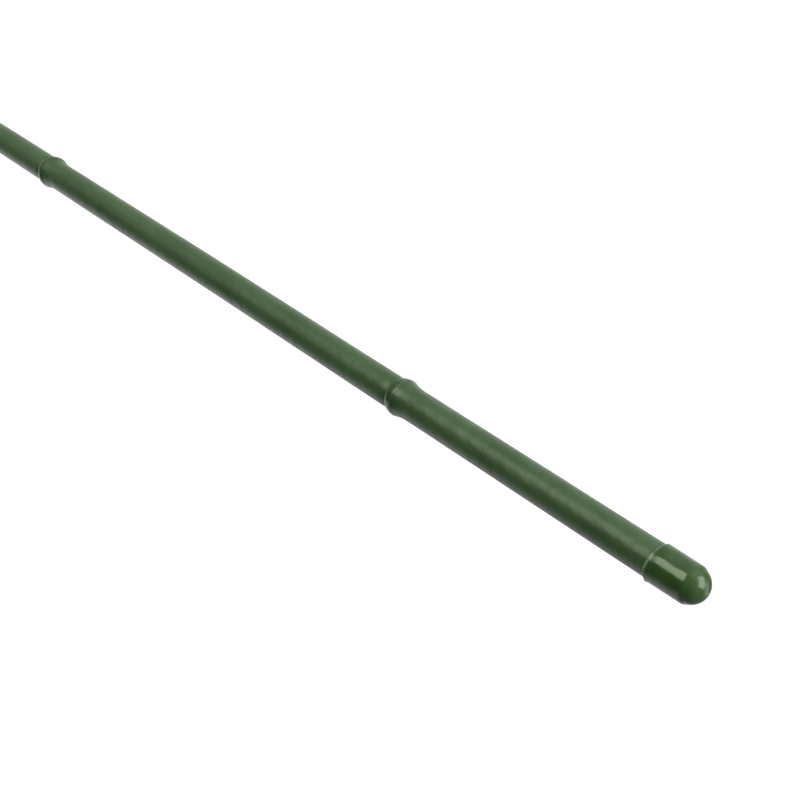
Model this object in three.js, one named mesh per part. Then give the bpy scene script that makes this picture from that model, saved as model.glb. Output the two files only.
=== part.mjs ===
// Plastic-coated steel garden stake with bamboo-like nodes, a domed cap and a ground point.
// Millimetres, +Z up the stake, origin at the nose of the ground point.
import * as THREE from 'three';

// Whole stake, from the nose of the point to the crown of the cap
const OVERALL_LENGTH = 900;

// Steel tube, rolled from strip and seam welded
const TUBE_RADIUS = 4.7;
const TUBE_WALL = 0.4;
const WELD_BEAD_WIDTH = 1.8;
const WELD_BEAD_HEIGHT = 0.25;

// Plastic coat extruded on the tube
const BOND_GAP = 0.03;
const COAT_THICKNESS = 0.77;

// Bamboo-like nodes formed in the coat, each with a groove under its ridge and a shaft that necks in to it
const NODE_PITCH = 220;
const FIRST_NODE_DROP = 107;
const RIDGE_HEIGHT = 0.93;
const NODE_RISE = 3.3;
const NODE_FALL = 4.2;
const GROOVE_WIDTH = 0.7;
const GROOVE_WALL = 0.3;
const NECK_LENGTH = 2.4;
const NECK_DROP = 0.25;

// Shape of a node, as shares of its own height, rise, fall, groove and neck
const RISE_RIM_HEIGHT = 0.38;
const RISE_RIM_REACH = 0.09;
const RISE_CREST_HEIGHT = 0.86;
const RISE_CREST_REACH = 0.3;
const FALL_CREST_REACH = 0.21;
const FALL_FOOT_REACH = 0.5;
const ROOT_START = 0.35;
const ROOT_END = 0.75;
const NECK_BEND = 0.3;

// Push fit of both end mouldings on the coated tube
const PUSH_CLEARANCE = 0.05;
const SEAT_GAP = 0.2;

// Cap on the upper end
const CAP_SKIRT_LENGTH = 12.6;
const CAP_WALL = 0.52;
const CAP_DRAFT = 0.1;
const CAP_LIP_ROUND = 0.2;
const CAP_SEAT_WIDTH = 0.45;
const CAP_CROWN_WALL = 0.67;
const CAP_SHOULDER_RISE = 1;
const CAP_SHOULDER_ROUND = 0.6;
const CAP_DOME_START = Math.PI / 9;

// Point on the lower end
const POINT_COLLAR_LENGTH = 16;
const POINT_WALL = 0.7;
const POINT_LIP_ROUND = 0.3;
const POINT_CONE_LENGTH = 26;
const POINT_NOSE_RADIUS = 1.5;
const POINT_SEAT_WIDTH = 0.6;
const POINT_CORE_TIP_RADIUS = 1;
const POINT_SOLID_TIP = 9;

// Facets round the axis, and steps along each curve of a profile
const RADIAL_FACETS = 40;
const CURVE_STEPS = 6;
const BEAD_STEPS = 6;

// Radii that follow from the sizes above
const sleeveBore = TUBE_RADIUS + BOND_GAP;
const sleeveRadius = sleeveBore + COAT_THICKNESS;
const ridgeRadius = sleeveRadius + RIDGE_HEIGHT;
const socketRadius = sleeveRadius + PUSH_CLEARANCE;
const capMouthRadius = socketRadius + CAP_WALL;
const capShoulderRadius = capMouthRadius - CAP_DRAFT;
const hollowRadius = sleeveRadius - CAP_SEAT_WIDTH;
const domeRadius = hollowRadius + CAP_CROWN_WALL;
const pointRadius = socketRadius + POINT_WALL;

// Heights that follow: the point stands on z = 0 and the cap's crown reaches the overall length
const capCentre = OVERALL_LENGTH - domeRadius;
const capShoulder = capCentre + CAP_SHOULDER_RISE;
const capMouth = capShoulder - CAP_SKIRT_LENGTH;
const pointMouth = POINT_CONE_LENGTH + POINT_COLLAR_LENGTH;
const tubeBottom = POINT_CONE_LENGTH + SEAT_GAP;
const tubeTop = capCentre - SEAT_GAP;

const sleevePlastic = new THREE.MeshStandardMaterial({ color: 0x48673f, roughness: 0.5, metalness: 0 });
const capPlastic = new THREE.MeshStandardMaterial({ color: 0x3a5c33, roughness: 0.3, metalness: 0 });
const pointPlastic = new THREE.MeshStandardMaterial({ color: 0x3a5c33, roughness: 0.35, metalness: 0 });
const tubeSteel = new THREE.MeshStandardMaterial({ color: 0x9ea3a6, roughness: 0.45, metalness: 1 });

// A named body from its geometry
function body(name, geometry, material) {
  const mesh = new THREE.Mesh(geometry, material);
  mesh.name = name;
  return mesh;
}

// Turns a profile of radius and height about the stake's axis
function revolve(profile) {
  const geometry = new THREE.LatheGeometry(profile.getPoints(CURVE_STEPS), RADIAL_FACETS);
  return geometry.rotateX(Math.PI / 2);
}

// Heights of the ridges, from the lowest that clears the point's mouth to the first one under the cap
function ridgeHeights() {
  const highest = capMouth - FIRST_NODE_DROP;
  const lowest = pointMouth + NECK_LENGTH + GROOVE_WIDTH + NODE_RISE;
  const heights = [];
  for (let height = highest; height >= lowest; height -= NODE_PITCH) {
    heights.unshift(height);
  }
  return heights;
}

// One node: the neck, the groove, the rise from its steep rim to the ridge, the fall back to the shaft
function addNode(profile, ridge) {
  const rim = ridge - NODE_RISE;
  const lip = rim - GROOVE_WIDTH;
  const grooveRadius = sleeveBore + GROOVE_WALL;
  profile.lineTo(sleeveRadius, lip - NECK_LENGTH);
  profile.quadraticCurveTo(sleeveRadius, lip - NECK_LENGTH * NECK_BEND, sleeveRadius - NECK_DROP, lip);
  profile.lineTo(grooveRadius, lip + GROOVE_WIDTH * ROOT_START);
  profile.lineTo(grooveRadius, lip + GROOVE_WIDTH * ROOT_END);
  profile.lineTo(sleeveRadius, rim);
  profile.bezierCurveTo(
    sleeveRadius + RIDGE_HEIGHT * RISE_RIM_HEIGHT, rim + NODE_RISE * RISE_RIM_REACH,
    sleeveRadius + RIDGE_HEIGHT * RISE_CREST_HEIGHT, ridge - NODE_RISE * RISE_CREST_REACH,
    ridgeRadius, ridge,
  );
  profile.bezierCurveTo(
    ridgeRadius, ridge + NODE_FALL * FALL_CREST_REACH,
    sleeveRadius, ridge + NODE_FALL * (1 - FALL_FOOT_REACH),
    sleeveRadius, ridge + NODE_FALL,
  );
}

// Tube section: a round outside, and a bore with the weld bead standing in at +X
function steelTube() {
  const bore = TUBE_RADIUS - TUBE_WALL;
  const facet = (2 * Math.PI) / RADIAL_FACETS;
  const beadAngle = Math.asin(WELD_BEAD_WIDTH / 2 / bore);
  const at = (radius, angle) => new THREE.Vector2(radius * Math.cos(angle), radius * Math.sin(angle));
  const outside = [];
  for (let i = 0; i < RADIAL_FACETS; i += 1) {
    outside.push(at(TUBE_RADIUS, i * facet));
  }
  const inside = [];
  for (let i = -BEAD_STEPS; i <= BEAD_STEPS; i += 1) {
    const rise = 0.5 + 0.5 * Math.cos((Math.PI * i) / BEAD_STEPS);
    inside.push(at(bore - WELD_BEAD_HEIGHT * rise, (beadAngle * i) / BEAD_STEPS));
  }
  const plainArc = 2 * Math.PI - 2 * beadAngle;
  for (let i = 1; i < RADIAL_FACETS; i += 1) {
    inside.push(at(bore, beadAngle + (plainArc * i) / RADIAL_FACETS));
  }
  const section = new THREE.Shape(outside);
  section.holes.push(new THREE.Path(inside));
  const geometry = new THREE.ExtrudeGeometry(section, { depth: tubeTop - tubeBottom, bevelEnabled: false });
  return geometry.translate(0, 0, tubeBottom);
}

// Coat with its nodes, cut flush with both ends of the tube
function plasticSleeve() {
  const profile = new THREE.Path();
  profile.moveTo(sleeveBore, tubeBottom);
  profile.lineTo(sleeveRadius, tubeBottom);
  for (const ridge of ridgeHeights()) addNode(profile, ridge);
  profile.lineTo(sleeveRadius, tubeTop);
  profile.lineTo(sleeveBore, tubeTop);
  profile.lineTo(sleeveBore, tubeBottom);
  return revolve(profile);
}

// Cap: lip, drafted skirt and rounded shoulder outside, dome, then the hollow crown, seat and socket inside
function topCap() {
  const profile = new THREE.Path();
  profile.moveTo(socketRadius, capMouth);
  profile.lineTo(capMouthRadius - CAP_LIP_ROUND, capMouth);
  profile.quadraticCurveTo(capMouthRadius, capMouth, capMouthRadius, capMouth + CAP_LIP_ROUND);
  profile.lineTo(capShoulderRadius, capShoulder - CAP_SHOULDER_ROUND);
  profile.quadraticCurveTo(
    capShoulderRadius, capShoulder,
    domeRadius * Math.cos(CAP_DOME_START), capCentre + domeRadius * Math.sin(CAP_DOME_START),
  );
  profile.absarc(0, capCentre, domeRadius, CAP_DOME_START, Math.PI / 2, false);
  profile.lineTo(0, capCentre + hollowRadius);
  profile.absarc(0, capCentre, hollowRadius, Math.PI / 2, 0, true);
  profile.lineTo(socketRadius, capCentre);
  profile.lineTo(socketRadius, capMouth);
  return revolve(profile);
}

// Point: flat nose, cone and collar outside, then the socket, seat and tapered core inside
function groundPoint() {
  const coreRadius = sleeveRadius - POINT_SEAT_WIDTH;
  const profile = new THREE.Path();
  profile.moveTo(0, 0);
  profile.lineTo(POINT_NOSE_RADIUS, 0);
  profile.lineTo(pointRadius, POINT_CONE_LENGTH);
  profile.lineTo(pointRadius, pointMouth - POINT_LIP_ROUND);
  profile.quadraticCurveTo(pointRadius, pointMouth, pointRadius - POINT_LIP_ROUND, pointMouth);
  profile.lineTo(socketRadius, pointMouth);
  profile.lineTo(socketRadius, POINT_CONE_LENGTH);
  profile.lineTo(coreRadius, POINT_CONE_LENGTH);
  profile.lineTo(POINT_CORE_TIP_RADIUS, POINT_SOLID_TIP);
  profile.lineTo(0, POINT_SOLID_TIP);
  return revolve(profile);
}

const stake = new THREE.Group();
stake.name = 'plastic_coated_stake';
stake.add(
  body('steel_tube', steelTube(), tubeSteel),
  body('plastic_sleeve', plasticSleeve(), sleevePlastic),
  body('top_cap', topCap(), capPlastic),
  body('ground_point', groundPoint(), pointPlastic),
);

export default stake;
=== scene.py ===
"""A plastic-coated steel garden stake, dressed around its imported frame.

Four pieces stand for the four solids: a seam-welded steel tube, the polyethylene coat extruded on it with its
bamboo-like nodes, a domed cap pushed on the upper end and a point pushed on the lower end. All lengths are
metres.
"""

from __future__ import annotations

import logging
import math
from dataclasses import dataclass
from enum import Enum
from functools import partial
from typing import Any, Callable, Sequence

import bpy
import numpy as np
from mathutils import Matrix, Vector

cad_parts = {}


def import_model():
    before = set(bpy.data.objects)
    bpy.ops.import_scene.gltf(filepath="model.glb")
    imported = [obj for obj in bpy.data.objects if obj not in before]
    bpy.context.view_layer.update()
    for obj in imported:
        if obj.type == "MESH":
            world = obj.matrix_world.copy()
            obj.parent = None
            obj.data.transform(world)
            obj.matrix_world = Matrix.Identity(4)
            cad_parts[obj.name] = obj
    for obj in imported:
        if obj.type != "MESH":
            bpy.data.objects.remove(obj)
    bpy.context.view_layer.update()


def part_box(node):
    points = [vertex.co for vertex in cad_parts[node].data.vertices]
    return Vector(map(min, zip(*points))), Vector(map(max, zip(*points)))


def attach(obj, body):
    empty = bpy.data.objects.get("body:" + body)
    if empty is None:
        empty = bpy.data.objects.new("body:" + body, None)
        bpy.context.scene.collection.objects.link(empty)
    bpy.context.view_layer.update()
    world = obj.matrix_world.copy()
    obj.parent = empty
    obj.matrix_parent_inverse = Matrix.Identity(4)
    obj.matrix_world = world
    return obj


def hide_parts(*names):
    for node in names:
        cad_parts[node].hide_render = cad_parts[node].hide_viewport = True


log = logging.getLogger("stake")

MM = 0.001
TURN = 2 * math.pi

# Sizes that tie the pieces to each other
BOND_GAP = 0.03 * MM
PUSH_CLEARANCE = 0.05 * MM
POINT_SEAT_WIDTH = 0.6 * MM
FIRST_NODE_DROP = 107 * MM
NODE_PITCH = 220 * MM

# Inputs of a colour Mix node, which has one set of inputs for each kind of value
MIX_A, MIX_B = 6, 7

# The range that nearly all of a noise lies in
NOISE_RANGE = {"From Min": 0.3, "From Max": 0.7}

# What both kinds of polyethylene share: how it refracts, and how widely its bloom spreads
POLYETHYLENE = {"IOR": 1.51, "Sheen Roughness": 0.4}

Array = np.ndarray
Point = tuple[float, float]
Pair = tuple[float, float]
Waves = tuple[tuple[float, ...], ...]
AddNode = Callable[..., bpy.types.Node]


class Body(Enum):
    """Bodies of the frame that a piece can ride on."""

    SHAFT = "shaft"
    CAP = "cap"
    POINT = "point"


class Slot(Enum):
    """Material slots of the record."""

    TUBE = "tube_steel"
    COAT = "coat_plastic"
    CAP = "cap_plastic"
    POINT = "point_plastic"


class Ends(Enum):
    """How a turned grid closes along its profile."""

    LOOP = "the last row joins the first"
    POLES = "the first and the last row are each one point on the axis"


# Profiles and meshes


def line(start: Point, end: Point, count: int) -> Array:
    """Points of a straight run: start plus an evenly stepped share of the way to end.

    Args:
        start: radius and height where the run begins.
        end: radius and height where it ends.
        count: number of points, both ends included.

    Returns:
        The points as rows of radius and height.
    """
    share = np.linspace(0, 1, count)[:, None]
    return np.array(start) * (1 - share) + np.array(end) * share


def bezier(corners: Sequence[Point], count: int) -> Array:
    """Points of a quadratic or cubic curve: its corners weighted by the Bernstein polynomials.

    Args:
        corners: three or four control points of radius and height.
        count: number of points, both ends included.

    Returns:
        The points as rows of radius and height.
    """
    share = np.linspace(0, 1, count)[:, None]
    degree = len(corners) - 1
    weights = [math.comb(degree, k) * share**k * (1 - share) ** (degree - k) for k in range(degree + 1)]
    return sum(weight * np.array(corner) for weight, corner in zip(weights, corners))


def arc(centre: Point, radius: float, start: float, end: float, count: int) -> Array:
    """Points of a round stretch: the centre plus the radius times cosine and sine of an evenly stepped angle.

    Args:
        centre: radius and height of the centre.
        radius: radius of the arc.
        start: first angle, in radians from the outward direction.
        end: last angle.
        count: number of points, both ends included.

    Returns:
        The points as rows of radius and height.
    """
    angle = np.linspace(start, end, count)
    return np.stack([centre[0] + radius * np.cos(angle), centre[1] + radius * np.sin(angle)], axis=1)


def join(*runs: Array) -> Array:
    """Chain runs of points, each starting where the last one ended, and keep each shared point once."""
    return np.vstack([runs[0], *(run[1:] for run in runs[1:])])


def polyline(corners: Sequence[Point], counts: Sequence[int]) -> Array:
    """Straight runs from corner to corner, each with its own number of points, both ends included."""
    return join(*(line(*run) for run in zip(corners, corners[1:], counts)))


def around(radius: Array, height: Array, angle: Array) -> Array:
    """Grid of points round the stake's axis: radius times cosine and sine of the angle, at that height.

    Args:
        radius: radius of each grid point, or of each row.
        height: height of each grid point, or of each row.
        angle: angle of each column.

    Returns:
        Rows by columns by x, y and z.
    """
    radius, height, angle = np.broadcast_arrays(radius, height, angle[None, :])
    return np.stack([radius * np.cos(angle), radius * np.sin(angle), height], axis=2)


def unrolled(profile: Array, segments: int) -> tuple[Array, Array, Array]:
    """A profile's radius and height as columns, and evenly stepped angles once round the axis."""
    return profile[:, :1], profile[:, 1:], np.linspace(0, TURN, segments, endpoint=False)


def turned(angle: Array) -> Array:
    """Angles brought to within half a turn either way of nothing."""
    return (angle + math.pi) % TURN - math.pi


def window(distance: Array, reach: float) -> Array:
    """Smooth bump that is one at no distance and falls as a bell to almost nothing at twice the reach."""
    return np.exp(-((distance / reach) ** 2))


def mesh_object(
    name: str, grid: Array, ends: Ends, values: dict[str, Array], sharp: float
) -> bpy.types.Object:
    """Make an object from a grid that closes on itself along each row.

    Rows run up the outside of a piece and down its inside, and columns run counter-clockwise, so that each
    face between four neighbours points outwards. At a pole the faces are triangles round one shared point.

    Args:
        name: name of the object and of its mesh.
        grid: rows by columns by x, y and z.
        ends: how the rows close.
        values: named numbers for each grid point, stored on the mesh for its material.
        sharp: angle in degrees past which an edge isn't shaded smooth.

    Returns:
        The object, linked to the scene.
    """
    rows, columns = grid.shape[:2]
    kept = np.ones((rows, columns), bool)
    if ends is Ends.POLES:
        kept[[0, -1], 1:] = False
    ids = np.cumsum(kept.ravel()).reshape(rows, columns) - 1
    if ends is Ends.LOOP:
        ids = np.vstack([ids, ids[:1]])
    else:
        ids[-1] = ids[-1, 0]
    beside = np.roll(ids, -1, axis=1)
    quads = np.stack([ids[:-1], beside[:-1], beside[1:], ids[1:]], axis=2)
    if ends is Ends.LOOP:
        faces = quads.reshape(-1, 4).tolist()
    else:
        faces = quads[0][:, [0, 2, 3]].tolist() + quads[1:-1].reshape(-1, 4).tolist()
        faces += quads[-1][:, [0, 1, 2]].tolist()
    mesh = bpy.data.meshes.new(name)
    mesh.from_pydata(grid[kept].tolist(), [], faces)
    for label, numbers in values.items():
        attribute = mesh.attributes.new(label, "FLOAT", "POINT")
        attribute.data.foreach_set("value", np.broadcast_to(numbers, kept.shape)[kept].astype(np.float32))
    mesh.shade_smooth()
    mesh.set_sharp_from_angle(angle=math.radians(sharp))
    mesh.validate()
    piece = bpy.data.objects.new(name, mesh)
    bpy.context.scene.collection.objects.link(piece)
    return piece


def seat(piece: bpy.types.Object, node: str, body: Body, material: bpy.types.Material) -> None:
    """Dress a piece and set it in the frame in place of a solid.

    Args:
        piece: the finished piece.
        node: the solid that it stands for.
        body: the body that it moves with.
        material: its finish.
    """
    piece.data.materials.append(material)
    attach(piece, body.value)
    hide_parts(node)
    log.info("%s: %d faces in %s", piece.name, len(piece.data.polygons), material.name)


# Colours and nodes


def linear(code: str) -> tuple[float, float, float, float]:
    """Turn an sRGB hex colour into linear light.

    Args:
        code: a hash mark and six hex digits.

    Returns:
        Red, green and blue in linear light, and a full alpha.
    """
    srgb = np.array([int(code[start:start + 2], 16) for start in (1, 3, 5)]) / 255
    light = np.where(srgb <= 0.04045, srgb / 12.92, ((srgb + 0.055) / 1.055) ** 2.4)
    return (*light.tolist(), 1.0)


def repeats(size: float) -> float:
    """Scale at which a pattern on coordinates in metres has features of that size in metres."""
    return 1 / size


def add_node(
    tree: bpy.types.NodeTree, kind: str, inputs: dict[Any, Any] | None = None, **settings: Any
) -> bpy.types.Node:
    """Add a node, set its properties, and fill or link its inputs.

    Args:
        tree: the node tree.
        kind: the node's type name.
        inputs: for each named or numbered input a value, an output, or a node for its first output in use.
        settings: properties of the node.

    Returns:
        The node.
    """
    node = tree.nodes.new(kind)
    for name, value in settings.items():
        setattr(node, name, value)
    for key, value in (inputs or {}).items():
        if isinstance(value, bpy.types.Node):
            value = next(output for output in value.outputs if output.enabled)
        if isinstance(value, bpy.types.NodeSocket):
            tree.links.new(value, node.inputs[key])
        else:
            node.inputs[key].default_value = value
    return node


def new_material(name: str) -> tuple[bpy.types.Material, AddNode]:
    """Start a material with an empty node tree.

    Args:
        name: what the material really is.

    Returns:
        The material, and add_node for its tree.
    """
    material = bpy.data.materials.new(name)
    material.use_nodes = True
    material.node_tree.nodes.clear()
    return material, partial(add_node, material.node_tree)


def surface(
    add: AddNode,
    base: str,
    layers: Sequence[tuple[Any, str]],
    reliefs: Sequence[tuple[Any, float]],
    inputs: dict[str, Any],
) -> None:
    """Complete a material: lay colours over a base, stack reliefs, and join all in one shader.

    Args:
        add: add_node for the material's tree.
        base: the lowest colour.
        layers: the colours over it, from the lowest up, each after the share that it covers.
        reliefs: the patterns in the surface, the coarsest first, each with its depth.
        inputs: the shader's other inputs.
    """
    colour = linear(base)
    for share, over in layers:
        colour = add("ShaderNodeMix", {0: share, MIX_A: colour, MIX_B: linear(over)}, data_type="RGBA")
    normal: dict[str, Any] = {}
    for height, depth in reliefs:
        bump = add("ShaderNodeBump", {"Height": height, "Distance": depth, "Strength": 1.0, **normal})
        normal = {"Normal": bump}
    shader = add("ShaderNodeBsdfPrincipled", {"Base Color": colour, **normal, **inputs})
    add("ShaderNodeOutputMaterial", {"Surface": shader})


# Finishes


@dataclass(frozen=True)
class ExtrudedPolyethylene:
    """Green polyethylene drawn on the tube through a die and rolled into nodes.

    The eye sees a satin skin: a wide, weak sheen whose edge wanders, because the skin is faintly rippled,
    fine lines along the draw and a colour that drifts a little. Painted shade deepens the green on the
    nodes' raised skin, the crests are paler from wear and from a painted highlight, and a thin pale line
    along the rims is a painted highlight.
    """

    name: str = "extruded_satin_polyethylene"
    deep: str = "#3A5235"
    light: str = "#455D3E"
    # Painted shade: the deeper green laid on the nodes' raised skin
    rolled: str = "#2F4529"
    # Paler green: wear, and a painted highlight on the crests
    paler_wear_and_highlight: str = "#768C6C"
    # Painted highlight: the thin pale line along the rims
    painted_rim_highlight: str = "#B4C4AA"
    roughness: Pair = (0.38, 0.46)
    polish: float = 0.24
    bloom: float = 0.2
    die_line: float = 0.7 * MM
    die_line_length: float = 45 * MM
    die_depth: float = 0.006 * MM
    streak: float = 0.25
    drift: float = 14 * MM
    ripple: float = 3 * MM
    ripple_length: float = 3.6 * MM
    ripple_depth: float = 0.22 * MM
    scuff: float = 1.4 * MM
    scuff_range: Pair = (0.35, 0.7)
    # Where on the crests the paler green of wear and painted highlight sets in, and how much it covers
    pale_crest_from: float = 0.8
    pale_crest_most: float = 0.35

    def material(self) -> bpy.types.Material:
        """Build the coat's material, which reads gloss, painted shade and painted highlights from the mesh.

        Returns:
            The material.
        """
        material, add = new_material(self.name)
        coords = add("ShaderNodeTexCoord").outputs["Object"]
        along_draw, along_ripple = (
            add("ShaderNodeMapping", {"Vector": coords, "Scale": (1, 1, width / length)})
            for width, length in ((self.die_line, self.die_line_length), (self.ripple, self.ripple_length))
        )
        lines, drift, ripple, scuffs = (
            add("ShaderNodeTexNoise", {"Vector": where, "Scale": repeats(size), "Detail": detail})
            for where, size, detail in (
                (along_draw, self.die_line, 2.0),
                (coords, self.drift, 3.0),
                (along_ripple, self.ripple, 1.0),
                (coords, self.scuff, 4.0),
            )
        )
        burnished, node_shade, rim_highlight_share = (
            add("ShaderNodeAttribute", attribute_name=label).outputs["Fac"]
            for label in ("burnished", "node_shade", "painted_rim_highlight")
        )
        first, last = self.scuff_range
        low, high = self.roughness
        patches, crest, tone, streak, satin = (
            add("ShaderNodeMapRange", ranges)
            for ranges in (
                {"Value": scuffs, "From Min": first, "From Max": last},
                {"Value": burnished, "From Min": self.pale_crest_from, "To Max": self.pale_crest_most},
                {"Value": drift, **NOISE_RANGE},
                {"Value": lines, **NOISE_RANGE, "To Min": -self.streak, "To Max": self.streak},
                {"Value": lines, **NOISE_RANGE, "To Min": low, "To Max": high},
            )
        )
        blend = add("ShaderNodeMath", {0: tone, 1: streak}, operation="ADD", use_clamp=True)
        # The crests' paler share is wear and a painted highlight; the rims' pale line is a painted highlight
        rub_and_highlight_share, white = (
            add("ShaderNodeMath", {0: where, 1: patches}, operation="MULTIPLY") for where in (crest, rim_highlight_share)
        )
        polished = {0: burnished, 1: -self.polish, 2: satin}
        roughness = add("ShaderNodeMath", polished, operation="MULTIPLY_ADD")
        # The layers paint shade on the nodes' raised skin, and highlights on the crests and along the rims;
        # the paler crests are also wear
        layers = ((blend, self.light), (node_shade, self.rolled), (rub_and_highlight_share, self.paler_wear_and_highlight), (white, self.painted_rim_highlight))
        reliefs = ((ripple, self.ripple_depth), (lines, self.die_depth))
        inputs = {"Roughness": roughness, "Sheen Weight": self.bloom, **POLYETHYLENE}
        surface(add, self.deep, layers, reliefs, inputs)
        return material


@dataclass(frozen=True)
class MouldedPolyethylene:
    """Green polyethylene injected into a polished mould, for the cap and the point.

    The eye sees a glossier and deeper green than the coat's: clear reflections that waver where the wall
    sank, a faint peel, and paler, duller plastic at the torn gate and along the point's handled edges.
    Along the cap's lip it is duller too, and paler there as a painted highlight.
    """

    name: str
    deep: str = "#344B29"
    light: str = "#3E5833"
    # Paler green: wear at the gate and on the point, and a painted highlight along the cap's lip
    paler_wear_and_highlight: str = "#AFC2A4"
    roughness: Pair = (0.16, 0.23)
    dulling: float = 0.25
    bloom: float = 0.03
    peel: float = 0.9 * MM
    peel_depth: float = 0.004 * MM
    sink: float = 5 * MM
    sink_depth: float = 0.2 * MM
    drift: float = 6 * MM
    scuff: float = 0.8 * MM
    scuff_range: Pair = (0.3, 0.66)
    scuff_least: float = 0.35

    def material(self) -> bpy.types.Material:
        """Build the moulding's material, which reads wear and a painted highlight from the mesh.

        Returns:
            The material.
        """
        material, add = new_material(self.name)
        coords = add("ShaderNodeTexCoord").outputs["Object"]
        exposed = add("ShaderNodeAttribute", attribute_name="exposed").outputs["Fac"]
        drift, peel, scuffs, sinks = (
            add("ShaderNodeTexNoise", {"Vector": coords, "Scale": repeats(size), "Detail": detail})
            for size, detail in ((self.drift, 3.0), (self.peel, 2.0), (self.scuff, 4.0), (self.sink, 1.0))
        )
        first, last = self.scuff_range
        low, high = self.roughness
        patches, tone, gloss = (
            add("ShaderNodeMapRange", ranges)
            for ranges in (
                {"Value": scuffs, "From Min": first, "From Max": last, "To Min": self.scuff_least},
                {"Value": drift, **NOISE_RANGE},
                {"Value": drift, **NOISE_RANGE, "To Min": low, "To Max": high},
            )
        )
        rub_and_highlight_share = add("ShaderNodeMath", {0: exposed, 1: patches}, operation="MULTIPLY")
        roughness = add("ShaderNodeMath", {0: rub_and_highlight_share, 1: self.dulling, 2: gloss}, operation="MULTIPLY_ADD")
        # The paler layer is wear at the gate and on the point, and a painted highlight on the cap's lip
        layers = ((tone, self.light), (rub_and_highlight_share, self.paler_wear_and_highlight))
        reliefs = ((sinks, self.sink_depth), (peel, self.peel_depth))
        inputs = {"Roughness": roughness, "Sheen Weight": self.bloom, **POLYETHYLENE}
        surface(add, self.deep, layers, reliefs, inputs)
        return material


@dataclass(frozen=True)
class MillSteel:
    """Cold-rolled steel strip, rolled into a tube and seam welded, left as it came off the mill.

    The eye sees a dull grey metal with fine lines along the tube, brown specks at the bare cut ends and a
    straw-coloured band beside the weld.
    """

    name: str = "cold_rolled_mill_steel"
    bright: str = "#B4B8BA"
    dull: str = "#8E9294"
    heat: str = "#A98F62"
    rust: str = "#6B4630"
    rust_metallic: float = 0.2
    roughness: Pair = (0.32, 0.5)
    rolling_line: float = 0.35 * MM
    rolling_length: float = 20 * MM
    line_depth: float = 0.004 * MM
    speck: float = 0.6 * MM
    speck_range: Pair = (0.5, 0.62)

    def material(self) -> bpy.types.Material:
        """Build the steel's material, which reads the weld and the cut ends from the mesh.

        Returns:
            The material.
        """
        material, add = new_material(self.name)
        coords = add("ShaderNodeTexCoord").outputs["Object"]
        weld, cut = (
            add("ShaderNodeAttribute", attribute_name=label).outputs["Fac"] for label in ("weld", "exposed")
        )
        stretch = (1, 1, self.rolling_line / self.rolling_length)
        along_strip = add("ShaderNodeMapping", {"Vector": coords, "Scale": stretch})
        lines, specks = (
            add("ShaderNodeTexNoise", {"Vector": where, "Scale": repeats(size), "Detail": detail})
            for where, size, detail in ((along_strip, self.rolling_line, 3.0), (coords, self.speck, 4.0))
        )
        first, last = self.speck_range
        spots = add("ShaderNodeMapRange", {"Value": specks, "From Min": first, "From Max": last})
        rusty = add("ShaderNodeMath", {0: cut, 1: spots}, operation="MULTIPLY")
        low, high = self.roughness
        roughness = add("ShaderNodeMapRange", {"Value": lines, "To Min": low, "To Max": high})
        metallic = add("ShaderNodeMapRange", {"Value": rusty, "To Min": 1.0, "To Max": self.rust_metallic})
        layers = ((lines, self.bright), (weld, self.heat), (rusty, self.rust))
        inputs = {"Metallic": metallic, "Roughness": roughness}
        surface(add, self.dull, layers, ((lines, self.line_depth),), inputs)
        return material


# Pieces


@dataclass
class WeldedTube:
    """The steel tube inside the coat: a round outside, and a bore with the weld bead standing in at +X."""

    radius: float
    bottom: float
    top: float
    wall: float = 0.4 * MM
    bead_width: float = 1.8 * MM
    bead_height: float = 0.25 * MM
    edge_round: float = 0.08 * MM
    rust_reach: float = 1 * MM
    segments: int = 96
    rows: int = 60

    def build(self, finish: MillSteel) -> None:
        """Build the tube from its wall's section, carried round the axis.

        The section runs up the outside, over the cut end, down the bore and back. The bore's radius drops by
        half the bead's height times one plus a cosine that makes one wave across the bead's width.

        Args:
            finish: the steel.
        """
        bore, soft = self.radius - self.wall, self.edge_round
        corners = [
            (self.radius, self.bottom + soft),
            (self.radius, self.top - soft),
            (self.radius - soft, self.top),
            (bore + soft, self.top),
            (bore, self.top - soft),
            (bore, self.bottom + soft),
            (bore + soft, self.bottom),
            (self.radius - soft, self.bottom),
            (self.radius, self.bottom + soft),
        ]
        profile = polyline(corners, (self.rows, 3, 3, 3, self.rows, 3, 3, 3))[:-1]
        radius, height, angle = unrolled(profile, self.segments)
        across = turned(angle) * bore
        share = np.clip(across / (self.bead_width / 2), -1, 1)
        bead = self.bead_height * (0.5 + 0.5 * np.cos(math.pi * share))
        inner = (radius <= bore + soft).astype(float)
        grid = around(radius - inner * bead, height, angle)
        to_end = np.minimum(height - self.bottom, self.top - height)
        values = {
            "weld": inner * window(across, self.bead_width / 2)[None, :],
            "exposed": window(to_end, self.rust_reach),
        }
        piece = mesh_object("welded_tube", grid, Ends.LOOP, values, sharp=30)
        seat(piece, "steel_tube", Body.SHAFT, finish.material())


@dataclass(frozen=True)
class NodePolishAndHighlight:
    """Gloss of a node and its painted rim highlight: a share all round it, and what its worn side adds."""

    polish: Pair
    rim_highlight_share: Pair
    highlight_above_rim: float
    highlight_reach: float


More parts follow.
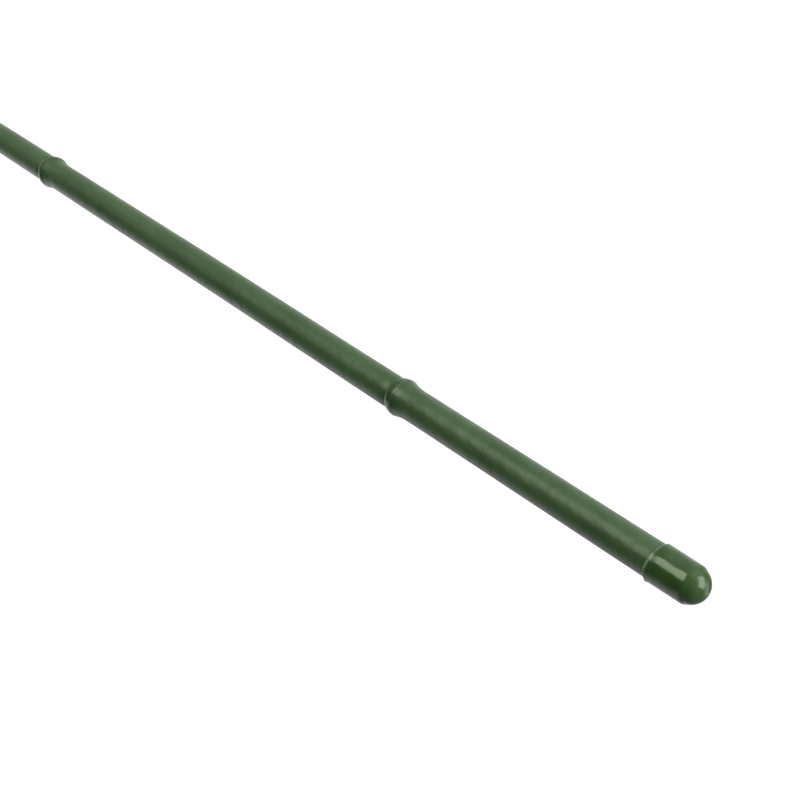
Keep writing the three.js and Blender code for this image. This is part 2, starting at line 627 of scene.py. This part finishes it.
@dataclass
class CoatSleeve:
    """The extruded coat with its rolled nodes: a neck, a step up to a proud rim, the ridge, and a fall."""

    bore: float
    ridge_radius: float
    bottom: float
    top: float
    ridges: tuple[float, ...]
    ridge_height: float = 0.93 * MM
    rim_height: float = 0.37 * MM
    rim_round: float = 0.03 * MM
    rim_lean: float = 0.3
    rise: float = 2.8 * MM
    rise_bend: float = 0.5
    fall_crest: float = 0.45 * MM
    fall_foot: float = 1.8 * MM
    fall: float = 7 * MM
    step_run: float = 0.25 * MM
    neck_drop: float = 0.55 * MM
    neck_length: float = 3.8 * MM
    neck_bend: float = 0.35
    end_round: float = 0.15 * MM
    inner_layer: float = 0.1 * MM
    row_step: float = 1.8 * MM
    covered: float = 18 * MM
    segments: int = 112

    # Waves in the skin: turns round the shaft, millimetres along it for a turn, millimetres of height, phase
    waves: Waves = ((2, 310, 0.018, 0.4), (3, -145, 0.013, 1.3), (4, 61, 0.008, 2.1), (5, -27, 0.006, 4.4))

    # Unevenness, and how far its direction turns from each node to the next
    bow: float = 0.14 * MM
    bow_reach: float = 0.3
    bow_turn: float = 2.1
    uneven: float = 0.04
    uneven_turn: float = 1.7
    skew: float = 0.1 * MM
    skew_turn: float = 2.3

    # Wear on one side of each rim, a painted rim highlight, painted shade on nodes, and the marks of rolling
    wear_and_highlight_angle: float = -0.6
    wear_and_highlight_spread: float = 0.7
    worn_depth: float = 0.16 * MM
    worn_reach: float = 0.4 * MM
    # Painted highlight: how far the skin must stand proud to carry the pale rim line
    highlight_stand: float = 0.3 * MM
    # Painted shade: how deeply the nodes' raised skin is darkened
    node_shade: float = 0.8
    first_polish_and_highlight: NodePolishAndHighlight = NodePolishAndHighlight((1.0, 0.0), (0.0, 1.0), 0.0, 0.25 * MM)
    later_polish_and_highlight: NodePolishAndHighlight = NodePolishAndHighlight((-0.7, 1.7), (0.25, 1.5), 0.2 * MM, 0.6 * MM)

    @property
    def radius(self) -> float:
        """Radius of the plain shaft."""
        return self.ridge_radius - self.ridge_height

    def node_profile(self, ridge: float) -> Array:
        """Profile of one node, from the start of its neck to the end of its fall.

        The neck is a quadratic curve that leaves the shaft along the axis, the step is straight with a round
        at its rim, the rise is a quadratic curve that flattens to the ridge, and the fall is a cubic curve
        that leaves and ends along the axis, with a long foot.

        Args:
            ridge: height of the ridge.

        Returns:
            The points as rows of radius and height.
        """
        shaft, crest = self.radius, self.ridge_radius
        rim, edge = ridge - self.rise, shaft + self.rim_height
        root = (shaft - self.neck_drop, rim - self.step_run)
        under_rim = (edge - self.rim_round, rim - 0.5 * self.rim_round)
        over_rim = (edge + self.rim_lean * self.rim_round, rim + self.rim_round)
        neck_start = (shaft, root[1] - self.neck_length)
        top, foot = (crest, ridge), (shaft, ridge + self.fall_foot)
        return join(
            bezier([neck_start, (shaft, root[1] - self.neck_bend * self.neck_length), root], 14),
            line(root, under_rim, 6),
            bezier([under_rim, (edge, rim), over_rim], 6),
            bezier([over_rim, (crest, ridge - self.rise_bend * self.rise), top], 30),
            bezier([top, (crest, ridge + self.fall_crest), foot, (shaft, ridge + self.fall)], 26),
        )

    def profile(self) -> Array:
        """Closed profile of the coat: up the outside with its nodes, over the cut end and down the bore.

        Returns:
            The points as rows of radius and height.
        """
        shaft, edge = self.radius, self.radius - self.end_round
        low, high = self.bottom + self.end_round, self.top - self.end_round
        runs = [bezier([(edge, self.bottom), (shaft, self.bottom), (shaft, low)], 5)]
        shapes = [self.node_profile(ridge) for ridge in self.ridges]
        shapes.append(bezier([(shaft, high), (shaft, self.top), (edge, self.top)], 5))
        for shape in shapes:
            begin, end = runs[-1][-1, 1], shape[0, 1]
            runs.append(line((shaft, begin), (shaft, end), 1 + math.ceil((end - begin) / self.row_step)))
            runs.append(shape)
        inside = [(edge, self.top), (self.bore, self.top), (self.bore, self.bottom), (edge, self.bottom)]
        return join(*runs, polyline(inside, (4, 12, 4))[:-1])

    def wander(self, height: Array, angle: Array) -> Array:
        """How far the skin stands off a true cylinder: waves that wind slowly round the shaft, and a bow.

        Each wave is a cosine of a whole number of turns of the angle plus a share of the height, so that the
        skin closes on itself. Between each two nodes the coat also lies off centre, as a cosine of the angle
        times a bell half-way between them. All fade out under the cap and the point, where the fit is tight.

        Args:
            height: height of each row.
            angle: angle of each column.

        Returns:
            The offset of each grid point.
        """
        offset = sum(
            size * MM * np.cos(turns * angle[None, :] + TURN * height / (length * MM) + phase)
            for turns, length, size, phase in self.waves
        )
        for number, (high, low) in enumerate(zip(self.ridges[::-1], self.ridges[-2::-1])):
            bulge = window(height - (high + low) / 2, self.bow_reach * (high - low))
            offset = offset - self.bow * bulge * np.cos(angle + self.bow_turn * number)[None, :]
        clear = np.minimum(height - self.bottom, self.top - height) / self.covered
        return offset * np.clip(clear - 1, 0, 1)

    def build(self, finish: ExtrudedPolyethylene) -> None:
        """Build the coat from its profile, with the skin's waves and nodes that are a little uneven.

        Round each node the ridge stands higher and lower by a few hundredths of its height and leans along
        the shaft by a tenth of a millimetre, each as a cosine of the angle, weighted by a bell about the
        ridge. One side of each rim is worn down, as a bell of the angle times a bell about the rim. A pale
        line along the rims is a painted highlight, on that side only at the first node and strongest there
        at the others. The skin that stands proud gets painted shade, a deeper green. The rollers burnished
        it on the first node under the cap, and on the others left it duller but for the worn side; where it
        is most burnished, its colour is paler, from wear and as a painted highlight.

        Args:
            finish: the coat's plastic.
        """
        radius, height, angle = unrolled(self.profile(), self.segments)
        outer = (radius > self.bore + self.inner_layer).astype(float)
        stand = np.maximum(radius - self.radius, 0)
        side = window(turned(angle - self.wear_and_highlight_angle), self.wear_and_highlight_spread)[None, :]
        swell, lean, worn, painted_rim_highlight, polish = np.zeros((5, len(radius), self.segments))
        for number, ridge in enumerate(self.ridges):
            node_look = self.first_polish_and_highlight if ridge == self.ridges[-1] else self.later_polish_and_highlight
            rim = ridge - self.rise
            near = outer * window(height - ridge, self.rise)
            swell += near * np.cos(2 * angle + self.uneven_turn * number)[None, :]
            lean += near * np.cos(angle + self.skew_turn * number)[None, :]
            worn += outer * window(height - rim, self.worn_reach) * side
            polish += near * (node_look.polish[0] + node_look.polish[1] * side)
            # Painted highlight: a pale line along the rim, strongest on the worn side
            pale = window(height - (rim + node_look.highlight_above_rim), node_look.highlight_reach)
            painted_rim_highlight += pale * (node_look.rim_highlight_share[0] + node_look.rim_highlight_share[1] * side) * (stand > self.highlight_stand)
        skin = radius + outer * self.wander(height, angle) - self.uneven * stand * (0.5 + 0.5 * swell)
        skin = skin - self.worn_depth * worn * (stand > 0)
        grid = around(skin, height + self.skew * lean, angle)
        proud = outer * stand / self.ridge_height
        values = {
            # Gloss, and where it is highest a paler colour: wear and a painted highlight
            "burnished": polish * np.sqrt(proud),
            # Painted shade: a deeper green on the skin that stands proud
            "node_shade": self.node_shade * proud,
            "painted_rim_highlight": outer * painted_rim_highlight,
        }
        piece = mesh_object("coat_sleeve", grid, Ends.LOOP, values, sharp=40)
        seat(piece, "plastic_sleeve", Body.SHAFT, finish.material())


@dataclass
class DomedCap:
    """The cap: a thin drafted skirt with a turned lip, a small shoulder, a dome, and a seat for the tube."""

    mouth: float
    crown: float
    mouth_radius: float
    socket_radius: float
    dome_radius: float = 5.72 * MM
    hollow_radius: float = 5.05 * MM
    draft: float = 0.1 * MM
    shoulder_rise: float = 1 * MM
    shoulder_round: float = 0.6 * MM
    dome_start: float = math.pi / 9
    socket_round: float = 0.1 * MM
    lip_round: float = 0.3 * MM
    lip_rows: int = 9
    segments: int = 128

    # The lip's flare, with its waves as turns, height and phase, its sag, and the side where it is drawn in
    lip_start: float = 0.2 * MM
    lip_reach: float = 0.3 * MM
    flare: float = 0.28 * MM
    flare_mean: float = 0.4
    flare_waves: Waves = ((1, 0.4, -0.1), (7, 0.12, 1), (13, 0.08, 2))
    sag: float = 0.3 * MM
    sag_angle: float = -1.0
    sag_spread: float = 0.6
    drawn: float = 0.3 * MM
    drawn_length: float = 3.5 * MM
    drawn_angle: float = -2.2
    drawn_spread: float = 0.5

    # The gate's dish and the stub in it, with its waves as radians per metre along x and along y, and phase
    gate_radius: float = 0.75 * MM
    gate_depth: float = 0.07 * MM
    stub_share: float = 0.55
    stub_height: float = 0.14 * MM
    stub_mean: float = 0.3
    stub_peak: float = 3
    stub_waves: Waves = ((3100, 2300, 0.8), (-1900, 4700, 2.1), (5600, -3500, 4.0), (2600, 7900, 5.3))

    def profile(self) -> Array:
        """Profile from the hollow crown down to the mouth and up the outside to the dome's crown.

        The hollow crown is an arc, the seat a flat ring and the socket a straight run. The lip is a round,
        the skirt leans in by its draft, the shoulder is a quadratic curve that leaves along the skirt, and
        the dome is an arc whose rows close up towards the gate.

        Returns:
            The points as rows of radius and height.
        """
        mouth, socket, outer = self.mouth, self.socket_radius, self.mouth_radius
        centre = self.crown - self.dome_radius
        corner = (outer - self.draft, centre + self.shoulder_rise)
        skirt_low = (outer, mouth + self.lip_round)
        skirt_top = (corner[0], corner[1] - self.shoulder_round)
        socket_low = (socket, mouth + self.socket_round)
        lip_inside = (socket + self.socket_round, mouth)
        lip_outside = (outer - self.lip_round, mouth)
        near_gate = math.acos(2 * self.gate_radius / self.dome_radius)
        dome = arc((0, centre), self.dome_radius, self.dome_start, near_gate, 34)
        return join(
            arc((0, centre), self.hollow_radius, math.pi / 2, 0, 24),
            polyline([(self.hollow_radius, centre), (socket, centre), socket_low], (4, 14)),
            bezier([socket_low, (socket, mouth), lip_inside], 4),
            line(lip_inside, lip_outside, 3),
            bezier([lip_outside, (outer, mouth), skirt_low], self.lip_rows),
            line(skirt_low, skirt_top, 36),
            bezier([skirt_top, corner, tuple(dome[0])], 16),
            dome,
            arc((0, centre), self.dome_radius, near_gate, math.pi / 2, 22),
        )

    def build(self, finish: MouldedPolyethylene) -> None:
        """Build the cap, with the torn gate at its crown and a lip that is a little ragged.

        The gate is a shallow dish about the axis, a bell of the radius, with a broken stub in it: a narrower
        bell times a sum of cosines of x and y in four directions. The lip stands out by up to a quarter of a
        millimetre, as a sum of cosines of the angle weighted by a bell about the mouth, and sags as a bell of
        the angle. On one side the skirt is drawn in towards the lip, as a square of the distance times a bell
        of the angle.

        Args:
            finish: the moulded plastic.
        """
        radius, height, angle = unrolled(self.profile(), self.segments)
        outer = (np.arange(len(radius)) > np.argmax(radius) - self.lip_rows)[:, None]
        over_lip = radius > self.socket_radius + self.lip_start
        at_lip = outer * window(height - self.mouth, self.lip_reach) * over_lip
        to_lip = outer * np.clip(1 - (height - self.mouth) / self.drawn_length, 0, 1)
        drawn_side = window(turned(angle - self.drawn_angle), self.drawn_spread)[None, :]
        sag_side = window(turned(angle - self.sag_angle), self.sag_spread)[None, :]
        ragged = sum(
            (share * np.cos(turns * angle + phase) for turns, share, phase in self.flare_waves),
            start=self.flare_mean,
        )
        flare = self.flare * at_lip * ragged[None, :] - self.drawn * to_lip**2 * drawn_side
        grid = around(radius + flare, height - self.sag * at_lip * sag_side, angle)
        on_dome = outer * (height > self.crown - self.dome_radius)
        dish = window(radius, self.gate_radius)
        stub = window(radius, self.stub_share * self.gate_radius)
        east, north = grid[..., 0], grid[..., 1]
        torn = sum(np.cos(one * east + two * north + phase) for one, two, phase in self.stub_waves)
        torn = torn / self.stub_peak
        broken = self.stub_height * stub * (self.stub_mean + torn)
        grid[..., 2] += on_dome * (-self.gate_depth * dish + broken)
        grid[-1] = grid[-1].mean(axis=0)
        # The lip's share paints a highlight along its edge; the gate's is the torn gate's paler plastic
        values = {"exposed": at_lip + on_dome * dish * (0.5 + 0.5 * torn)}
        piece = mesh_object("domed_cap", grid, Ends.POLES, values, sharp=40)
        seat(piece, "top_cap", Body.CAP, finish.material())


@dataclass
class GroundPoint:
    """The point: a collar like the cap's, a cone with a small flat nose, and a cored inside with a seat."""

    mouth: float
    radius: float
    socket_radius: float
    seat_radius: float
    cone_length: float = 26 * MM
    nose_radius: float = 1.5 * MM
    nose_round: float = 0.45 * MM
    blend: float = 2.2 * MM
    lip_round: float = 0.4 * MM
    core_tip_radius: float = 1 * MM
    solid_tip: float = 9 * MM
    seam_height: float = 0.05 * MM
    seam_width: float = 0.25 * MM
    nose_reach: float = 3 * MM
    nose_wear: float = 0.8
    lip_reach: float = 0.5 * MM
    edge_wear: float = 0.4
    segments: int = 128

    def profile(self) -> Array:
        """Profile from the nose up the outside to the collar's mouth and down inside to the core's tip.

        The nose is flat with a round edge, the cone runs straight and turns into the collar on a soft curve,
        the lip is a round, and inside are the socket, the seat and the tapered core.

        Returns:
            The points as rows of radius and height.
        """
        radius, mouth, shoulder = self.radius, self.mouth, self.cone_length
        slope = (radius - self.nose_radius) / shoulder
        low, high = self.nose_round, shoulder - self.blend
        nose_edge = (self.nose_radius - self.nose_round, 0)
        cone_low = (self.nose_radius + slope * low, low)
        cone_high = (self.nose_radius + slope * high, high)
        collar_low, collar_high = (radius, shoulder + self.blend), (radius, mouth - self.lip_round)
        lip = (radius - self.lip_round, mouth)
        inside = [
            lip,
            (self.socket_radius, mouth),
            (self.socket_radius, shoulder),
            (self.seat_radius, shoulder),
            (self.core_tip_radius, self.solid_tip),
            (0, self.solid_tip),
        ]
        return join(
            line((0, 0), nose_edge, 5),
            bezier([nose_edge, (self.nose_radius, 0), cone_low], 8),
            line(cone_low, cone_high, 40),
            bezier([cone_high, (radius, shoulder), collar_low], 12),
            line(collar_low, collar_high, 24),
            bezier([collar_high, (radius, mouth), lip], 9),
            polyline(inside, (3, 14, 3, 16, 4)),
        )

    def build(self, finish: MouldedPolyethylene) -> None:
        """Build the point, with the mould's fine parting seam down both sides.

        The seam is a ridge at two opposite angles: a bell of the distance round the surface from the seam,
        times the seam's height, fading out on the nose.

        Args:
            finish: the moulded plastic.
        """
        radius, height, angle = unrolled(self.profile(), self.segments)
        outer = (np.arange(len(height)) <= np.argmax(height))[:, None]
        from_seam = radius * np.abs(np.cos(angle))[None, :]
        fade = np.clip(radius / self.nose_radius - 1, 0, 1)
        seam = outer * fade * window(from_seam, self.seam_width)
        grid = around(radius + self.seam_height * seam, height, angle)
        nose = outer * window(height, self.nose_reach)
        lip = outer * window(height - self.mouth, self.lip_reach)
        exposed = self.nose_wear * nose + self.edge_wear * lip + self.edge_wear * seam
        values = {"exposed": np.clip(exposed, 0, 1)}
        piece = mesh_object("ground_point_moulding", grid, Ends.POLES, values, sharp=40)
        seat(piece, "ground_point", Body.POINT, finish.material())


# Studio and camera


@dataclass(frozen=True)
class Softbox:
    """A rectangular lamp, placed by its direction from the cap."""

    name: str
    direction: tuple[float, float, float]
    distance: float
    width: float
    height: float
    brightness: float
    colour: str = "#FFFFFF"
    roll: float = 0

    def place(self, target: Vector) -> None:
        """Hang the lamp so that it faces the target, with its width level but for a roll in degrees.

        A lamp of even brightness gives out pi times its brightness times its area.

        Args:
            target: the point that it faces.
        """
        lamp = bpy.data.lights.new(self.name, "AREA")
        lamp.shape = "RECTANGLE"
        lamp.size, lamp.size_y = self.width, self.height
        lamp.color = linear(self.colour)[:3]
        lamp.energy = math.pi * self.brightness * self.width * self.height
        holder = bpy.data.objects.new(self.name, lamp)
        towards = Vector(self.direction).normalized()
        facing = (-towards).to_track_quat("-Z", "Y").to_matrix()
        holder.rotation_euler = (facing @ Matrix.Rotation(math.radians(self.roll), 3, "Z")).to_euler()
        holder.location = target + towards * self.distance
        holder.visible_camera = False
        bpy.context.scene.collection.objects.link(holder)
        log.info("%s: %.2f by %.2f m", self.name, self.width, self.height)


# Each lamp's name, direction, distance, width, height, brightness, colour and roll
LAMPS = (
    Softbox("overhead_softbox", (-0.57, -0.1, 0.815), 2.0, 1.3, 2.1, 5.4, "#F6FFEC"),
    Softbox("front_softbox", (-0.17, -0.87, -0.45), 1.6, 1.05, 0.45, 5.4, "#F0FFDE", 12),
    Softbox("front_glow", (-0.19, -0.96, -0.21), 1.6, 1.05, 0.4, 3.0, "#F0FFDE", 12),
    Softbox("side_glow", (-0.93, -0.37, 0.05), 1.6, 2.1, 2.2, 0.55),
    Softbox("back_glow", (-0.35, 0.55, 0.76), 2.0, 1.6, 1.0, 1.6),
)


@dataclass(frozen=True)
class Studio:
    """Plain pale surroundings: a floor under the point's travel, a dark card and an even white world."""

    floor_height: float = -0.04
    floor_hole: float = 0.001
    floor_radius: float = 40.0
    floor_colour: str = "#959595"
    floor_glow: Pair = (0.69, 1.0)
    glow_reach: float = 1.5
    mirrored_glow: tuple[float, float, float] = (0.35, 1.0, 0.7)
    mirrored_side: float = 0.5
    mirrored_reach: Pair = (0.5, 1.2)
    paper_edge: Pair = (-0.25, 0.35)
    paper_turn: float = 0.2
    fill: float = 0.23
    card_colour: str = "#403E43"
    card_radius: float = 0.3
    card_angles: Pair = (14.0, 100.0)
    card_fade: float = 0.75
    card_heights: Pair = (0.02, 1.3)

    def world(self) -> None:
        """Light the surroundings evenly: white to the camera, and a weaker fill for all other light."""
        world = bpy.data.worlds.new("studio_world")
        bpy.context.scene.world = world
        world.use_nodes = True
        world.cycles.sampling_method = "NONE"
        world.node_tree.nodes.clear()
        add = partial(add_node, world.node_tree)
        seen = add("ShaderNodeLightPath").outputs["Is Camera Ray"]
        strength = add("ShaderNodeMapRange", {"Value": seen, "To Min": self.fill, "To Max": 1.0})
        sky = add("ShaderNodeBackground", {"Color": linear("#FFFFFF"), "Strength": strength})
        add("ShaderNodeOutputWorld", {"Surface": sky})

    def floor_material(self) -> bpy.types.Material:
        """White studio paper: matt, with one glow for the camera and one for reflections.

        The camera's glow grows with the distance from the stake, so that the paper keeps the shadow at its
        foot. The reflections' glow sets in behind the stake, in a direction turned a little from +Y to +X,
        and leaves what lies in front dark. Close to the foot it is weaker towards -X than towards +X, and
        further out it is the same on both sides.

        Returns:
            The material.
        """
        material, add = new_material("studio_paper")
        path = add("ShaderNodeLightPath").outputs
        coords = add("ShaderNodeTexCoord").outputs["Object"]
        away = add("ShaderNodeVectorMath", {0: coords}, operation="LENGTH")
        unit = add("ShaderNodeVectorMath", {0: coords}, operation="NORMALIZE")
        aim = (math.sin(self.paper_turn), math.cos(self.paper_turn), 0.0)
        heading = add("ShaderNodeVectorMath", {0: unit, 1: aim}, operation="DOT_PRODUCT")
        across = add("ShaderNodeSeparateXYZ", {0: unit}).outputs["X"]
        first, last = self.paper_edge
        behind = add("ShaderNodeMapRange", {"Value": heading, "From Min": first, "From Max": last})
        west, east, far = self.mirrored_glow
        sides = {"From Min": -self.mirrored_side, "From Max": self.mirrored_side}
        near = add("ShaderNodeMapRange", {"Value": across, **sides, "To Min": west, "To Max": east})
        close, distant = self.mirrored_reach
        reach = {"From Min": close, "From Max": distant}
        sheen = add("ShaderNodeMapRange", {"Value": away, **reach, "To Min": near, "To Max": far})
        reflected = add("ShaderNodeMath", {0: behind, 1: sheen}, operation="MULTIPLY")
        mirrored = add("ShaderNodeMath", {0: path["Is Glossy Ray"], 1: reflected}, operation="MULTIPLY")
        low, high = self.floor_glow
        spread = {"From Max": self.glow_reach, "To Min": low, "To Max": high}
        shine = add("ShaderNodeMapRange", {"Value": away, **spread})
        glows = {0: path["Is Camera Ray"], 1: shine, 2: mirrored}
        strength = add("ShaderNodeMath", glows, operation="MULTIPLY_ADD")
        paper = add("ShaderNodeBsdfDiffuse", {"Color": linear(self.floor_colour)})
        glow = add("ShaderNodeEmission", {"Color": linear("#FFFFFF"), "Strength": strength})
        both = add("ShaderNodeAddShader", {0: paper, 1: glow})
        add("ShaderNodeOutputMaterial", {"Surface": both})
        material.cycles.emission_sampling = "NONE"
        return material

    def card_material(self) -> bpy.types.Material:
        """Dark grey felt that thins out towards the card's far edge, so that its reflection ends softly.

        Returns:
            The material.
        """
        material, add = new_material("dark_grey_felt")
        coords = add("ShaderNodeTexCoord").outputs["Object"]
        axes = add("ShaderNodeSeparateXYZ", {0: coords}).outputs
        ahead = add("ShaderNodeMath", {0: axes["Y"], 1: -1.0}, operation="MULTIPLY")
        angle = add("ShaderNodeMath", {0: axes["X"], 1: ahead}, operation="ARCTAN2")
        last = math.radians(self.card_angles[1])
        fade = {"From Min": last - self.card_fade, "From Max": last}
        thin = add("ShaderNodeMapRange", {"Value": angle, **fade})
        felt = add("ShaderNodeBsdfDiffuse", {"Color": linear(self.card_colour)})
        clear = add("ShaderNodeBsdfTransparent")
        both = add("ShaderNodeMixShader", {0: thin, 1: felt, 2: clear})
        add("ShaderNodeOutputMaterial", {"Surface": both})
        return material

    def sheet(self, name: str, grid: Array, material: bpy.types.Material) -> bpy.types.Object:
        """Make a stage object from an open grid of points, with a face between each four neighbours.

        Args:
            name: name of the object.
            grid: rows by columns by x, y and z.
            material: its material.

        Returns:
            The object.
        """
        rows, columns = grid.shape[:2]
        ids = np.arange(rows * columns).reshape(rows, columns)
        faces = np.stack([ids[:-1, :-1], ids[:-1, 1:], ids[1:, 1:], ids[1:, :-1]], axis=2).reshape(-1, 4)
        mesh = bpy.data.meshes.new(name)
        mesh.from_pydata(grid.reshape(-1, 3).tolist(), [], faces.tolist())
        mesh.materials.append(material)
        thing = bpy.data.objects.new(name, mesh)
        bpy.context.scene.collection.objects.link(thing)
        log.info("%s: stage", name)
        return thing

    def build(self) -> None:
        """Lay the floor as a flat disc, and stand the card as part of a cylinder before the +X side."""
        rings = np.array([self.floor_hole, self.floor_radius])[:, None]
        disc = around(rings, np.full_like(rings, self.floor_height), np.linspace(0, TURN, 97))
        self.sheet("studio_floor", disc[::-1], self.floor_material())
        first, last = (math.radians(value) for value in self.card_angles)
        angle = np.linspace(first, last, 24)[None, :]
        height = np.array(self.card_heights)[:, None]
        east, up = np.broadcast_arrays(self.card_radius * np.sin(angle), height)
        north = np.broadcast_to(-self.card_radius * np.cos(angle), up.shape)
        card = self.sheet("dark_card", np.stack([east, north, up], axis=2), self.card_material())
        card.visible_camera = False
        card.visible_shadow = False
        self.world()


@dataclass(frozen=True)
class PhotoCamera:
    """The photograph's view, measured in its frame of 800 by 800 pixels."""

    image_size: float = 800
    focal_pixels: float = 1520
    axis_vanishes_at: Point = (-1158.7, -610.8)
    mouth_at: Point = (658.0, 562.7)
    mouth_depth: float = 0.4159
    sensor: float = 36.0
    clip: Point = (0.01, 50)

    def ray(self, pixel: Point) -> Vector:
        """Direction of a pixel in the camera's axes, x right, y up and z backwards, with a depth of one."""
        half = self.image_size / 2
        return Vector((pixel[0] - half, half - pixel[1], -self.focal_pixels)) / self.focal_pixels

    def place(self, mouth: Vector) -> None:
        """Stand the camera on the -Y side so that the axis and the cap's mouth fall where they were seen.

        The far end of the axis is the direction of the pixel where the axis vanishes. Its share along the
        view sets how steeply the camera looks down, and its slant in the image sets the roll.

        Args:
            mouth: centre of the cap's mouth.
        """
        far = self.ray(self.axis_vanishes_at).normalized()
        down = -far.z
        forward = Vector((0, math.sqrt(1 - down**2), -down))
        roll = -math.pi / 2 - math.atan2(far.y, far.x)
        facing = forward.to_track_quat("-Z", "Y").to_matrix() @ Matrix.Rotation(roll, 3, "Z")
        data = bpy.data.cameras.new("photo_camera")
        data.sensor_width = self.sensor
        data.lens = self.focal_pixels / self.image_size * self.sensor
        data.clip_start, data.clip_end = self.clip
        camera = bpy.data.objects.new("photo_camera", data)
        place = mouth - facing @ self.ray(self.mouth_at) * self.mouth_depth
        camera.matrix_world = Matrix.Translation(place) @ facing.to_4x4()
        bpy.context.scene.collection.objects.link(camera)
        bpy.context.scene.camera = camera
        log.info("camera at %s with a %.1f mm lens", [round(value, 4) for value in place], data.lens)


def ridge_heights(cap_mouth: float, point_mouth: float) -> tuple[float, ...]:
    """Heights of the ridges, lowest first, stepped down from the cap until the point's mouth.

    Args:
        cap_mouth: height of the cap's mouth.
        point_mouth: height of the point's mouth.

    Returns:
        The heights.
    """
    count = int((cap_mouth - FIRST_NODE_DROP - point_mouth) // NODE_PITCH) + 1
    return tuple(cap_mouth - FIRST_NODE_DROP - NODE_PITCH * step for step in reversed(range(count)))


def main() -> None:
    """Load the frame, read the solids' sizes from it, and build the camera, the studio and the four pieces.
    """
    logging.basicConfig(level=logging.INFO, format="%(name)s: %(message)s")
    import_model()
    bpy.context.scene.view_settings.view_transform = "Standard"
    tube_low, tube_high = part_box("steel_tube")
    coat_low, coat_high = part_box("plastic_sleeve")
    cap_low, cap_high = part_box("top_cap")
    point_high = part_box("ground_point")[1]

    PhotoCamera().place(Vector((0, 0, cap_low.z)))
    Studio().build()
    for lamp in LAMPS:
        lamp.place(Vector((0, 0, (cap_low.z + cap_high.z) / 2)))

    coat = CoatSleeve(
        bore=tube_high.x + BOND_GAP,
        ridge_radius=coat_high.x,
        bottom=coat_low.z,
        top=coat_high.z,
        ridges=ridge_heights(cap_low.z, point_high.z),
    )
    socket = coat.radius + PUSH_CLEARANCE
    cap = DomedCap(cap_low.z, cap_high.z, cap_high.x, socket)
    point = GroundPoint(point_high.z, point_high.x, socket, coat.radius - POINT_SEAT_WIDTH)
    WeldedTube(tube_high.x, tube_low.z, tube_high.z).build(MillSteel())
    coat.build(ExtrudedPolyethylene())
    cap.build(MouldedPolyethylene("moulded_cap_polyethylene"))
    point.build(MouldedPolyethylene("moulded_point_polyethylene"))


if __name__ == "__main__":
    main()
